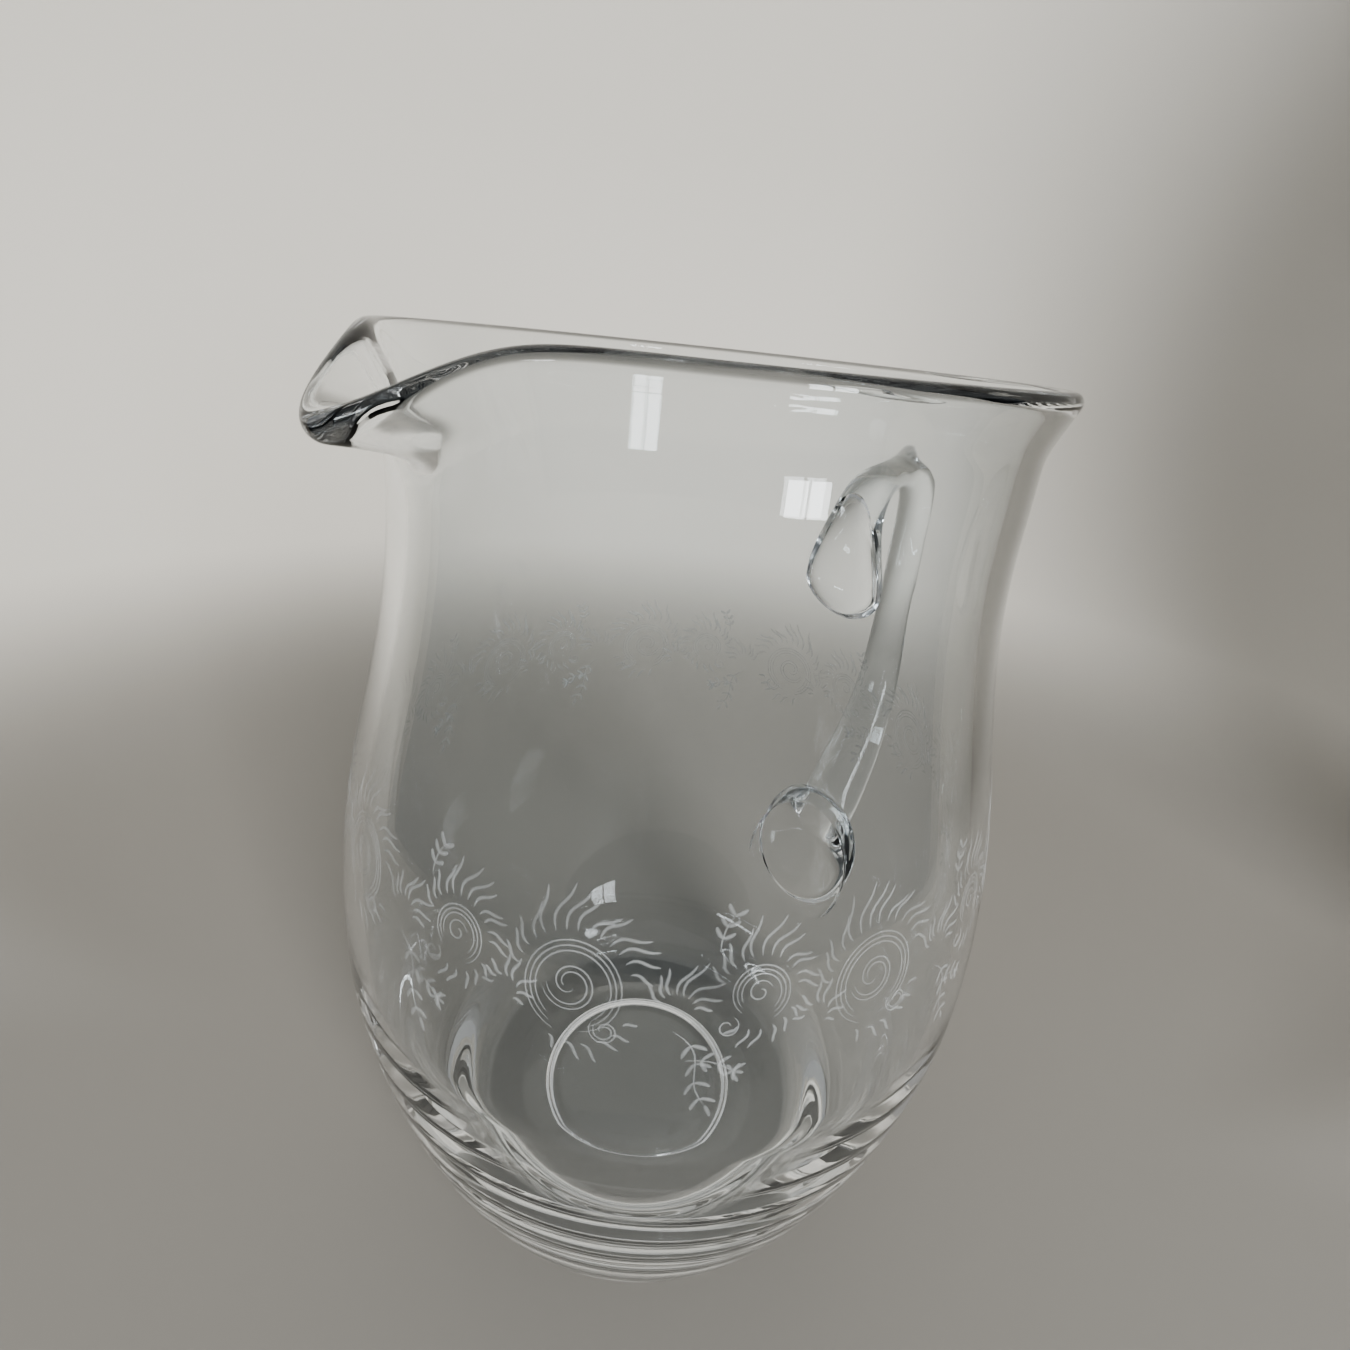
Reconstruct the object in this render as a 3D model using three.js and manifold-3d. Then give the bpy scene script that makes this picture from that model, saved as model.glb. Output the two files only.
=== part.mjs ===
// A handled glass jug: a blown bowl with a pulled pouring lip, and one solid handle sealed to its wall.
// Millimetres, +Z up. The jug stands on z = 0, pours towards -X and is held at +X.
import * as THREE from 'three';
import { mergeVertices } from 'three/addons/utils/BufferGeometryUtils.js';
import Module from 'manifold-3d';

// Foot and base
const FOOT_RADIUS = 38.5;
const FOOT_RING_WIDTH = 9;
const UNDERSIDE_RISE = 0.5;
const HOLLOW_MARGIN = 6;
const HOLLOW_DEPTH = 3;
const HOLLOW_STEEPNESS = 16;
const FLOOR_HEIGHT = 8;
const FLOOR_INSET = 22;
const HEEL_OUT = 8.6;
const HEEL_UP = 2;

// Wall, from the belly up to the rim
const WALL = 3;
const LOWER_WALL = 4.4;
const BELLY_RADIUS = 61;
const BELLY_HEIGHT = 69;
const NECK_INSET = 11.7;
const NECK_RISE = 82.5;
const RIM_OUT = 2.4;
const RIM_RISE = 18.5;
const RIM_FLARE = THREE.MathUtils.degToRad(21);
const RIM_LEAD = 9;

// How far each curve of the wall runs on before it turns, at the belly and at the neck
const BELLY_LEAD_DOWN = 26;
const BELLY_LEAD_UP = 36;
const NECK_LEAD_DOWN = 30.5;
const NECK_LEAD_UP = 0.7;
const CORNER_PLACE = 0.42;
const CORNER_ROUND = 0.8;

// Pouring lip
const LIP_REACH = 10.2;
const LIP_DROP = 8.6;
const LIP_HALF_WIDTH = 12;
const LIP_THICKNESS = 4;
const LIP_FLARE = THREE.MathUtils.degToRad(80);

// Handle
const LOWER_SEAL_HEIGHT = 46.5;
const LOWER_SEAL_RADIUS = 16;
const LOWER_SEAL_THICKNESS = 12;
const LEAVING_ANGLE = THREE.MathUtils.degToRad(50);
const LOWER_LEAD = 22;
const GRIP_LENGTH = 33;
const GRIP_LEAD = 18;
const FINGER_SPACE = 15.8;
const GRIP_LOW_RADIUS = 8.2;
const GRIP_HIGH_RADIUS = 5.1;
const ARCH_RISE = 18;
const ARCH_INSET = 14;
const ARCH_LEAD = 13;
const UPPER_SEAL_DROP = 34.5;
const UPPER_SEAL_RISE = 33.8;
const UPPER_SEAL_LEAD = 28;
const UPPER_SEAL_HALF_WIDTH = 10.5;
const UPPER_SEAL_FLARE = 13;
const UPPER_SEAL_TIP = 8;
const SEAL_BITE = 1;
const SEAL_GAP = 0.3;

// Fineness of the faceted surfaces
const LIP_STEPS = 24;
const WALL_STEPS = 34;
const CUTTER_STEPS = 96;
const HANDLE_STEPS = 44;
const HANDLE_SIDES = 18;

// Places that follow from the sizes above
const NECK_RADIUS = BELLY_RADIUS - NECK_INSET;
const NECK_HEIGHT = BELLY_HEIGHT + NECK_RISE;
const RIM_RADIUS = NECK_RADIUS + RIM_OUT;
const RIM_HEIGHT = NECK_HEIGHT + RIM_RISE;
const LIP_ANGLE = LIP_HALF_WIDTH / RIM_RADIUS;
const LIP_SPAN = Math.min(3 * LIP_ANGLE, Math.PI / 2);
const RING_INSIDE = FOOT_RADIUS - FOOT_RING_WIDTH;
const HOLLOW_RADIUS = RING_INSIDE - HOLLOW_MARGIN;
const UPPER_SEAL_END = NECK_HEIGHT - UPPER_SEAL_DROP;
const ARCH_TOP = UPPER_SEAL_END + UPPER_SEAL_RISE;
const GRIP_HIGH = ARCH_TOP - ARCH_RISE;
const GRIP_LOW = GRIP_HIGH - GRIP_LENGTH;
const GRIP_REACH = BELLY_RADIUS + FINGER_SPACE + GRIP_LOW_RADIUS;

const glass = new THREE.MeshStandardMaterial({
  color: 0xdde3e2,
  roughness: 0.04,
  metalness: 0,
  transparent: true,
  opacity: 0.35,
});

const at = (radius, height) => new THREE.Vector2(radius, height);

// The outside of the wall from the foot to the belly.
const lowerWall = new THREE.CubicBezierCurve(
  at(FOOT_RADIUS, 0),
  at(FOOT_RADIUS + HEEL_OUT, HEEL_UP),
  at(BELLY_RADIUS, BELLY_HEIGHT - BELLY_LEAD_DOWN),
  at(BELLY_RADIUS, BELLY_HEIGHT),
);

// The middle of the wall from the belly to the neck.
const bellyMiddle = at(BELLY_RADIUS - WALL / 2, BELLY_HEIGHT);
const neckMiddle = at(NECK_RADIUS - WALL / 2, NECK_HEIGHT);
const upperWall = new THREE.CubicBezierCurve(
  bellyMiddle,
  at(bellyMiddle.x, BELLY_HEIGHT + BELLY_LEAD_UP),
  at(neckMiddle.x, NECK_HEIGHT - NECK_LEAD_DOWN),
  neckMiddle,
);

// The rim's thickness, where pull is 1 at the lip's tip and 0 away from it.
const rimThickness = (pull) => THREE.MathUtils.lerp(WALL, LIP_THICKNESS, pull);

// The middle of the wall from the neck to the rim.
function rimWall(pull) {
  const flare = THREE.MathUtils.lerp(RIM_FLARE, LIP_FLARE, pull);
  const half = rimThickness(pull) / 2;
  const end = at(RIM_RADIUS + LIP_REACH * pull - half, RIM_HEIGHT - LIP_DROP * pull - half);
  const lead = at(Math.sin(flare), Math.cos(flare)).multiplyScalar(RIM_LEAD);
  const above = at(neckMiddle.x, NECK_HEIGHT + NECK_LEAD_UP * (end.y - NECK_HEIGHT));
  return new THREE.CubicBezierCurve(neckMiddle, above, end.clone().sub(lead), end);
}

// A point beside a curve, that far out from it.
function beside(curve, t, distance) {
  const tangent = curve.getTangent(t);
  return curve.getPoint(t).add(at(tangent.y, -tangent.x).multiplyScalar(distance));
}

function along(steps, place) {
  return Array.from({ length: steps }, (_, i) => place((i + 1) / steps));
}

// The underside from the axis to the foot's edge: ground hollow, slight rise and flat standing ring.
// The steps across the hollow draw closer together towards its steep side.
function undersideProfile() {
  const hollow = along(6, (t) => {
    const out = Math.sin((t * Math.PI) / 2);
    const lift = HOLLOW_DEPTH * (1 - out ** HOLLOW_STEEPNESS);
    return at(HOLLOW_RADIUS * out, UNDERSIDE_RISE + lift);
  });
  return [at(0, UNDERSIDE_RISE + HOLLOW_DEPTH), ...hollow, at(RING_INSIDE, 0), at(FOOT_RADIUS, 0)];
}

// The inside from the belly down to the middle of the floor.
function insideProfile() {
  const wall = along(4, (t) => {
    const place = THREE.MathUtils.lerp(1, CORNER_PLACE, t);
    return beside(lowerWall, place, -THREE.MathUtils.lerp(WALL, LOWER_WALL, t));
  });
  const corner = wall[wall.length - 1];
  const slope = lowerWall.getTangent(CORNER_PLACE);
  const fall = CORNER_ROUND * (corner.y - FLOOR_HEIGHT);
  const floor = new THREE.CubicBezierCurve(
    corner,
    at(corner.x - (fall * slope.x) / slope.y, corner.y - fall),
    at(FOOT_RADIUS - FLOOR_INSET, FLOOR_HEIGHT),
    at(0, FLOOR_HEIGHT),
  );
  return [...wall, ...along(6, (t) => floor.getPoint(t))];
}

// The whole wall section at one angle from the lip, from the underside's middle round to the floor's middle.
function bowlProfile(angle) {
  const pull = Math.exp(-((angle / LIP_ANGLE) ** 2));
  const rim = rimWall(pull);
  const halfWall = (t) => THREE.MathUtils.lerp(WALL, rimThickness(pull), t) / 2;
  const outside = [
    ...along(8, (t) => lowerWall.getPoint(t)),
    ...along(7, (t) => beside(upperWall, t, WALL / 2)),
    ...along(6, (t) => beside(rim, t, halfWall(t))),
  ];
  const rimEnd = rim.getPoint(1);
  const rimTangent = rim.getTangent(1);
  const rimNormal = at(rimTangent.y, -rimTangent.x);
  const bead = along(6, (t) => {
    const turn = Math.PI * t;
    const out = rimNormal.clone().multiplyScalar(halfWall(1) * Math.cos(turn));
    return rimEnd.clone().add(out).addScaledVector(rimTangent, halfWall(1) * Math.sin(turn));
  });
  const inside = [
    ...along(6, (t) => beside(rim, 1 - t, -halfWall(1 - t))),
    ...along(7, (t) => beside(upperWall, 1 - t, -WALL / 2)),
  ];
  return [...undersideProfile(), ...outside, ...bead, ...inside, ...insideProfile()];
}

// Angles round the bowl, measured from the lip and closer together across it.
function anglesRound() {
  const lip = along(LIP_STEPS, (t) => LIP_SPAN * (2 * t - 1));
  const rest = along(WALL_STEPS, (t) => LIP_SPAN + t * 2 * (Math.PI - LIP_SPAN));
  return [...lip, ...rest];
}

// A closed surface through rings of points, with one end point before the first ring and one after the last.
function closedSurface(first, rings, last) {
  const sides = rings[0].length;
  const points = [first, ...rings.flat(), last];
  const end = points.length - 1;
  const index = [];
  const spot = (ring, side) => 1 + ring * sides + (side % sides);
  for (let side = 0; side < sides; side++) {
    index.push(0, spot(0, side + 1), spot(0, side));
    for (let ring = 0; ring + 1 < rings.length; ring++) {
      const a = spot(ring, side);
      const b = spot(ring, side + 1);
      const c = spot(ring + 1, side);
      const d = spot(ring + 1, side + 1);
      index.push(a, b, d, a, d, c);
    }
    index.push(spot(rings.length - 1, side), spot(rings.length - 1, side + 1), end);
  }
  const geometry = new THREE.BufferGeometry().setFromPoints(points);
  geometry.setIndex(index);
  return geometry;
}

function bowlGeometry() {
  const angles = anglesRound();
  const sections = angles.map(bowlProfile);
  const lastRing = sections[0].length - 1;
  const place = (station, ring) => {
    const { x, y } = sections[station][ring];
    const turn = Math.PI + angles[station];
    return new THREE.Vector3(x * Math.cos(turn), x * Math.sin(turn), y);
  };
  const rings = [];
  for (let ring = 1; ring < lastRing; ring++) rings.push(angles.map((_, station) => place(station, ring)));
  return closedSurface(place(0, 0), rings, place(0, lastRing));
}

// The outside of the bowl away from the lip, as a filled solid that stands a little proud of the wall.
function sealCutter() {
  const outline = [
    at(0, -SEAL_GAP),
    at(FOOT_RADIUS, -SEAL_GAP),
    ...along(24, (t) => beside(lowerWall, t, SEAL_GAP)),
    ...along(24, (t) => beside(upperWall, t, WALL / 2 + SEAL_GAP)),
    ...along(12, (t) => beside(rimWall(0), t, WALL / 2 + SEAL_GAP)),
    at(0, RIM_HEIGHT),
  ];
  return new THREE.LatheGeometry(outline, CUTTER_STEPS).rotateX(Math.PI / 2);
}

// The outside of the wall on the handle's side, at a height between the foot and the neck, found by halving.
function wallAt(height) {
  const low = height < BELLY_HEIGHT;
  const curve = low ? lowerWall : upperWall;
  const point = (t) => beside(curve, t, low ? 0 : WALL / 2);
  let below = 0;
  let above = 1;
  for (let i = 0; i < 30; i++) {
    const middle = (below + above) / 2;
    if (point(middle).y < height) below = middle;
    else above = middle;
  }
  const up = curve.getTangent(below);
  return { point: new THREE.Vector3(point(below).x, 0, height), up: new THREE.Vector3(up.x, 0, up.y) };
}

// How far the handle's line starts inside the wall, so that all of the lower seal begins within it.
function lowerSealStart() {
  const radius = wallAt(LOWER_SEAL_HEIGHT).point.x;
  const roundness = radius - Math.sqrt(radius ** 2 - LOWER_SEAL_RADIUS ** 2);
  return (roundness + SEAL_BITE) / Math.cos(LEAVING_ANGLE);
}

// The handle's middle line: out of the lower seal, up the grip, over the arch and down on the upper seal.
function handlePath() {
  const spot = (x, z) => new THREE.Vector3(x, 0, z);
  const seal = wallAt(LOWER_SEAL_HEIGHT).point;
  const leaving = spot(Math.cos(LEAVING_ANGLE), Math.sin(LEAVING_ANGLE));
  const gripLow = spot(GRIP_REACH, GRIP_LOW);
  const gripHigh = spot(GRIP_REACH, GRIP_HIGH);
  const top = spot(GRIP_REACH - ARCH_INSET, ARCH_TOP);
  const end = wallAt(UPPER_SEAL_END);
  const path = new THREE.CurvePath();
  path.add(new THREE.CubicBezierCurve3(
    seal.clone().addScaledVector(leaving, -lowerSealStart()),
    seal.clone().addScaledVector(leaving, LOWER_LEAD),
    spot(GRIP_REACH, GRIP_LOW - GRIP_LEAD),
    gripLow,
  ));
  path.add(new THREE.LineCurve3(gripLow, gripHigh));
  path.add(new THREE.CubicBezierCurve3(
    gripHigh,
    spot(GRIP_REACH, GRIP_HIGH + ARCH_LEAD),
    spot(top.x + ARCH_LEAD / 2, top.z),
    top,
  ));
  path.add(new THREE.CubicBezierCurve3(
    top,
    spot(top.x - ARCH_LEAD, top.z),
    end.point.clone().addScaledVector(end.up, UPPER_SEAL_LEAD),
    end.point,
  ));
  return path;
}

// Half the handle's width across and half its depth, at a distance from the wall along a line of that length.
function handleSection(distance, length) {
  const toEnd = length - distance;
  const out = THREE.MathUtils.clamp(distance / LOWER_SEAL_THICKNESS, 0, 1);
  const taper = THREE.MathUtils.smoothstep(distance, LOWER_SEAL_THICKNESS, length / 2);
  const grip = THREE.MathUtils.lerp(GRIP_LOW_RADIUS, GRIP_HIGH_RADIUS, taper);
  const pad = (LOWER_SEAL_RADIUS - GRIP_LOW_RADIUS) * (1 - out ** 3) ** 2;
  const spread = Math.exp(-(((toEnd - UPPER_SEAL_TIP) / UPPER_SEAL_FLARE) ** 2));
  const round = Math.sqrt(1 - Math.max(1 - toEnd / UPPER_SEAL_TIP, 0) ** 2);
  const width = grip + pad + (UPPER_SEAL_HALF_WIDTH - GRIP_HIGH_RADIUS) * spread;
  return { width: width * round, depth: (grip + pad) * round };
}

// Rings round the middle line, closer together at the two seals. Those in the lower seal lie along the wall.
function handleGeometry() {
  const path = handlePath();
  const start = lowerSealStart();
  const length = path.getLength() - start;
  const across = new THREE.Vector3(0, 1, 0);
  const wallUp = wallAt(LOWER_SEAL_HEIGHT).up;
  const rings = [];
  for (let step = 0; step < HANDLE_STEPS; step++) {
    const share = (1 - Math.cos((Math.PI * step) / HANDLE_STEPS)) / 2;
    const distance = share * path.getLength() - start;
    const middle = path.getPointAt(share);
    const square = path.getTangentAt(share).cross(across);
    const free = THREE.MathUtils.smoothstep(distance, 0, 2 * LOWER_SEAL_THICKNESS);
    const deep = wallUp.clone().lerp(square, free).normalize();
    const { width, depth } = handleSection(distance, length);
    rings.push(Array.from({ length: HANDLE_SIDES }, (_, side) => {
      const turn = (2 * Math.PI * side) / HANDLE_SIDES;
      return middle
        .clone()
        .addScaledVector(across, width * Math.cos(turn))
        .addScaledVector(deep, depth * Math.sin(turn));
    }));
  }
  return closedSurface(path.getPointAt(0), rings, path.getPointAt(1));
}

const wasm = await Module();
wasm.setup();

function solidOf(geometry) {
  const bare = geometry.clone();
  bare.deleteAttribute('normal');
  bare.deleteAttribute('uv');
  const merged = mergeVertices(bare, 1e-4);
  const vertProperties = Float32Array.from(merged.attributes.position.array);
  const triVerts = Uint32Array.from(merged.index.array);
  return new wasm.Manifold(new wasm.Mesh({ numProp: 3, vertProperties, triVerts }));
}

function geometryOf(solid) {
  const { vertProperties, triVerts } = solid.getMesh();
  const geometry = new THREE.BufferGeometry();
  geometry.setAttribute('position', new THREE.BufferAttribute(vertProperties, 3));
  geometry.setIndex(new THREE.BufferAttribute(triVerts, 1));
  return geometry;
}

function named(name, geometry) {
  geometry.computeVertexNormals();
  const mesh = new THREE.Mesh(geometry, glass);
  mesh.name = name;
  return mesh;
}

const bowl = named('bowl', bowlGeometry());
const handle = named('handle', geometryOf(solidOf(handleGeometry()).subtract(solidOf(sealCutter()))));

// The origin lies under the middle of the jug's box, so the bowl's axis stands off it towards the lip.
const jug = new THREE.Group();
jug.add(bowl, handle);
const box = new THREE.Box3().setFromObject(jug);
jug.position.x = -(box.min.x + box.max.x) / 2;

export default jug;
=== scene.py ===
"""A handled jug of clear crystal: glass surfaces on the solid's sizes, an etched band and a pale studio."""

import math

import bpy
import numpy as np
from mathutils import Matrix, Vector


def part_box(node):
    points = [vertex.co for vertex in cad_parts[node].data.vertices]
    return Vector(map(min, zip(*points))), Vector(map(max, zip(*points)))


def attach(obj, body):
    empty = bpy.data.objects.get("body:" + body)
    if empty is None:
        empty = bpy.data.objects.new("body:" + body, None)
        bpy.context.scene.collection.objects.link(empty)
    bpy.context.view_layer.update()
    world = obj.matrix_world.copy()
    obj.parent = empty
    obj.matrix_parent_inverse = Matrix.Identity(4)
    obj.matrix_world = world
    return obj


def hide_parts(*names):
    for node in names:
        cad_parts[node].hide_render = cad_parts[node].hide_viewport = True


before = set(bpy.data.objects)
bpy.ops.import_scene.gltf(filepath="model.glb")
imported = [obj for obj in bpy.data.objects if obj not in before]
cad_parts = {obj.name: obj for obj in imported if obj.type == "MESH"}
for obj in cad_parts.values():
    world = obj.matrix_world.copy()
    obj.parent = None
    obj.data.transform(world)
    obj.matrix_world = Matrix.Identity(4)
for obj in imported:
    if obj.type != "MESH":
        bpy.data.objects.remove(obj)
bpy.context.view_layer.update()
BOWL_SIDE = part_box("bowl")[1].x

bl_info = {
    "name": "Handled Crystal Jug",
    "version": (1, 0, 0),
    "blender": (4, 5, 0),
    "location": "View3D > Sidebar > Jug",
    "description": "Builds a clear crystal jug with an applied handle and an etched band",
    "category": "Object",
}

BODY = "root"
MM = 0.001

# Fineness of the surfaces
LIP_COLUMNS, SIDE_COLUMNS, HANDLE_COLUMNS = 48, 62, 72
HOLLOW_ROWS, LOWER_ROWS, UPPER_ROWS, RIM_ROWS, BEAD_ROWS = 22, 61, 53, 27, 15
INNER_RIM_ROWS, INNER_UPPER_ROWS, INNER_LOWER_ROWS, FLOOR_ROWS = 22, 34, 22, 30
HANDLE_SIDES, HANDLE_ROWS, CAP_RINGS, COLLAR_RINGS = 96, 240, 8, 7
SLOPE_ROWS, RING_ROWS = 5, 6
CURL_POINTS, DASH_POINTS = 32, 10
CURVE_STEPS, OUTLINE_STEPS, HALVINGS = 500, 720, 40
SWEEP_COLUMNS, FLAT_ROWS, BEND_ROWS, BACKDROP_ROWS = 144, 12, 24, 6

# Small forms of the glass
HOLLOW_STEEPNESS = 16
GROUND_EDGE = 0.4 * MM
HANDLE_ARC = 0.42
SEAL_MARGIN = 4 * MM
ROLL_HEIGHT = 0.15

# Strokes of the band: how a curl closes, how thin a stroke ends, and how uneven the strokes of a spray are
CURL_FALL = 1.3
STROKE_TIP = 0.25
SPRAY_SHORTEST, SPRAY_UNEVEN, SPRAY_STRAY = 0.55, 0.18, 9
SPRAY_BEATS = (5.3, 3.7)
SPRAY_BOW, SPRAY_SWING = 0.1, 0.06

# Finish: fineness and upward stretch of the blown waves, and how much of the wall an etched line covers
BOWL_WAVES, HANDLE_WAVES = (38.0, 0.45), (90.0, 0.25)
ETCH_COVER = (0.07, 0.18)
MIX_FIRST, MIX_SECOND, MIX_RESULT = 6, 7, 2
GLASS_BOUNCES, CLEAR_BOUNCES = 36, 48

# Camera and room, in metres and degrees. The camera is placed from the bowl's axis.
CAMERA_PLACE = (-0.090144, -0.08406, 0.171659)
CAMERA_TURN = (65.002, -5.55, -43.771)
CAMERA_LENS, CAMERA_SENSOR, CAMERA_NEAR = 19.49, 36.0, 0.005
FLOOR_FLAT, FLOOR_BEND, FLOOR_TOP = 0.2, 0.3, 1.0
FLOOR_BACK, FLOOR_FRONT, FLOOR_FADE = 42.0, 0.55, (-0.1, 0.38)
# The second value of the next line is the height up to which the floor is painted darker, as painted shade.
FLOOR_MIDDLE, PAINTED_SHADE_TOP, FLOOR_DRIFT = 0.02, FLOOR_BEND / 6, 0.1
TOP_LIGHT = {
    "place": (0.1, 0.15, 1.35), "target": (0.1, 0.15, 0.0), "size": (0.9, 0.9), "tone": (1.0, 0.985, 0.96),
}
FILL_LIGHT = {
    "place": (-0.7, -2.3, 1.6), "target": (0.1, 0.3, 0.15), "size": (1.0, 1.0), "tone": (1.0, 0.985, 0.955),
}
RIGHT_WINDOW = {"bearing": -106, "away": 0.9, "height": 0.22, "pane": (0.1, 0.13), "panes": (2, 3)}
LEFT_WINDOW = {"bearing": 175, "away": 0.9, "height": 0.187, "pane": (0.17, 0.11), "panes": (2, 1)}
WINDOW_TONE = (0.93, 0.97, 1.0)
PANE_STEP = 1.14


def length(label, millimetres, words):
    """A length that a user may change, given here in millimetres."""
    return bpy.props.FloatProperty(
        name=label, description=words, default=millimetres * MM, min=0.0, precision=4, unit="LENGTH"
    )


def share(label, value, words):
    """A plain share from 0 to 1."""
    return bpy.props.FloatProperty(
        name=label, description=words, default=value, min=0.0, max=1.0, subtype="FACTOR"
    )


def turn(label, degrees, words):
    """An angle, given here in degrees."""
    return bpy.props.FloatProperty(
        name=label, description=words, default=math.radians(degrees), unit="ROTATION"
    )


def colour(label, value, words):
    """A plain colour."""
    return bpy.props.FloatVectorProperty(
        name=label, description=words, default=value, size=3, min=0.0, max=1.0, subtype="COLOR"
    )


def strength(label, watts, words):
    """The power of a lamp."""
    return bpy.props.FloatProperty(name=label, description=words, default=watts, min=0.0, unit="POWER")


class BowlSizes(bpy.types.PropertyGroup):
    """Sizes of the blown bowl, the same as the solid's or a hair less, to stay in its box."""

    foot_radius: length("Foot radius", 38.5, "From the axis to the foot's edge")
    ring_width: length("Standing ring", 9, "Width of the flat ring that the jug stands on")
    underside_rise: length("Underside rise", 0.5, "How far the underside lifts inside the ring")
    hollow_margin: length("Hollow margin", 6, "From the ring to the ground hollow")
    hollow_depth: length("Hollow depth", 3, "Depth of the ground hollow")
    floor_height: length("Floor height", 8, "Height of the floor inside")
    floor_inset: length("Floor inset", 22, "How far the floor's curve ends inside the foot's edge")
    heel_out: length("Heel out", 8.6, "How far the wall runs out from the foot before it turns up")
    heel_up: length("Heel up", 2, "How far the heel rises on that run")
    wall: length("Wall", 3, "Thickness of the wall")
    lower_wall: length("Lower wall", 4.4, "Thickness of the wall at the floor's corner")
    belly_radius: length("Belly radius", 61, "Widest radius")
    belly_height: length("Belly height", 69, "Height of the widest place")
    neck_inset: length("Neck inset", 11.7, "How much narrower the neck is than the belly")
    neck_rise: length("Neck rise", 82.5, "From the belly up to the neck")
    rim_out: length("Rim out", 2.4, "How far the rim flares out from the neck")
    rim_rise: length("Rim rise", 18.48, "From the neck up to the rim")
    rim_lead: length("Rim lead", 9, "How long the flare runs straight into the rim")
    rim_flare: turn("Rim flare", 21, "Lean of the rim")
    belly_lead_down: length("Belly lead down", 26, "Fullness of the wall under the belly")
    belly_lead_up: length("Belly lead up", 36, "Fullness of the wall over the belly")
    neck_lead_down: length("Neck lead down", 30.5, "Slimness of the wall under the neck")
    neck_lead_up: share("Neck lead up", 0.7, "Share of the rim's rise that stays upright")
    corner_place: share("Corner place", 0.42, "Share of the lower wall where the floor's curve begins")
    corner_round: share("Corner round", 0.8, "Roundness of the floor's corner")
    lip_reach: length("Lip reach", 10.15, "How far the pouring lip is pulled out")
    lip_drop: length("Lip drop", 8.6, "How far the pouring lip is pulled down")
    lip_half_width: length("Lip half width", 12, "Half the width of the pull, along the rim")
    lip_thickness: length("Lip thickness", 4, "Thickness of the glass at the lip")
    lip_flare: turn("Lip flare", 80, "Lean of the lip at its tip")


class HandleSizes(bpy.types.PropertyGroup):
    """Sizes of the applied handle, the same as the solid's or a hair less, to stay in its box."""

    lower_height: length("Lower seal height", 46.5, "Height of the lower seal's middle")
    lower_radius: length("Lower seal radius", 16, "Radius of the lower seal")
    roll: share("Seal roll", 0.08, "Share by which the lower seal draws in where it meets the wall")
    lower_thickness: length("Lower seal thickness", 12, "How far the lower seal's pad reaches out")
    leaving: turn("Leaving angle", 50, "Lean at which the handle leaves the lower seal")
    lower_lead: length("Lower lead", 22, "How long the handle runs straight out of the lower seal")
    grip_length: length("Grip length", 33, "Straight part of the grip")
    grip_lead: length("Grip lead", 18, "How long the handle turns up before the grip")
    finger_space: length("Finger space", 15.7, "From the belly to the grip")
    grip_low: length("Grip low radius", 8.1, "Radius at the foot of the grip")
    grip_high: length("Grip high radius", 5.1, "Radius at the top of the grip")
    arch_rise: length("Arch rise", 18, "From the grip's top to the top of the arch")
    arch_inset: length("Arch inset", 14, "From the grip to the top of the arch, towards the wall")
    arch_lead: length("Arch lead", 13, "Roundness of the arch")
    upper_drop: length("Upper seal drop", 34.5, "From the neck down to the end of the handle")
    upper_rise: length("Upper seal rise", 33.8, "From the end of the handle up to the arch")
    upper_lead: length("Upper seal lead", 28, "How long the handle lies along the wall")
    upper_half_width: length("Upper seal half width", 10.5, "Half the width of the pressed end")
    upper_flare: length("Upper seal flare", 13, "Length over which the end widens")
    upper_tip: length("Upper seal tip", 8, "Length of the rounded tip")
    bite: length("Bite", 1, "How far the handle's ends start inside the wall")


class BandSizes(bpy.types.PropertyGroup):
    """The etched band of scrolls and sprigs."""

    height: length("Band height", 97, "Height of the band's middle")
    repeats: bpy.props.IntProperty(name="Repeats", description="Times the motif goes round", default=9, min=3)
    line: length("Line half width", 0.15, "Half the width of an etched line")
    flame: length("Flame half width", 0.28, "Half the width of an etched flame")
    leaf: length("Leaf half width", 0.36, "Half the width of an etched leaf")
    depth: length("Line depth", 0.03, "How far a line stands in and out of the surface")
    start: turn("Start", 14, "Where the first motif lies, from the handle")


class GlassLook(bpy.types.PropertyGroup):
    """Colours and finish of the glass."""

    clear: colour("Clear glass", (0.985, 0.995, 1.0), "Palest tint of the crystal")
    cool: colour("Cool glass", (0.955, 0.98, 0.988), "Deepest tint of the crystal")
    shade: colour("Shade", (0.85, 0.865, 0.87), "Light that passes the glass into its shade")
    edge_shade: colour("Edge shade", (0.3, 0.315, 0.33), "Light that passes the glass edge-on")
    index: bpy.props.FloatProperty(
        name="Index", description="Refractive index of the crystal", default=1.53, min=1.0
    )
    waver: length("Waver", 0.035, "Depth of the faint waves left by blowing")
    etched: colour("Etched lines", (0.83, 0.85, 0.85), "Colour of the matte lines")


class StageLook(bpy.types.PropertyGroup):
    """Floor and light."""

    floor_pale: colour("Backdrop", (0.64, 0.62, 0.58), "Tone of the sweep behind the jug")
    # Painted shade: the floor where the jug stands is painted darker than the backdrop, in place of less
    # light falling on it.
    floor_painted_shade: colour("Floor", (0.24, 0.23, 0.212), "Tone of the sweep where the jug stands")
    top: strength("Top light", 0.7, "Large soft light overhead")
    fill: strength("Fill light", 85.0, "Soft light from the front left, which doesn't show in the glass")
    right_pane: strength("Right window", 0.7, "Each pane of the tall window-like light")
    left_pane: strength("Left window", 0.6, "Each pane of the wide window-like light")
    low_sky: colour("Low surround", (0.05, 0.06, 0.075), "Dim light from the sides")
    high_sky: colour("High surround", (0.30, 0.30, 0.30), "Soft light from above")


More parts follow.
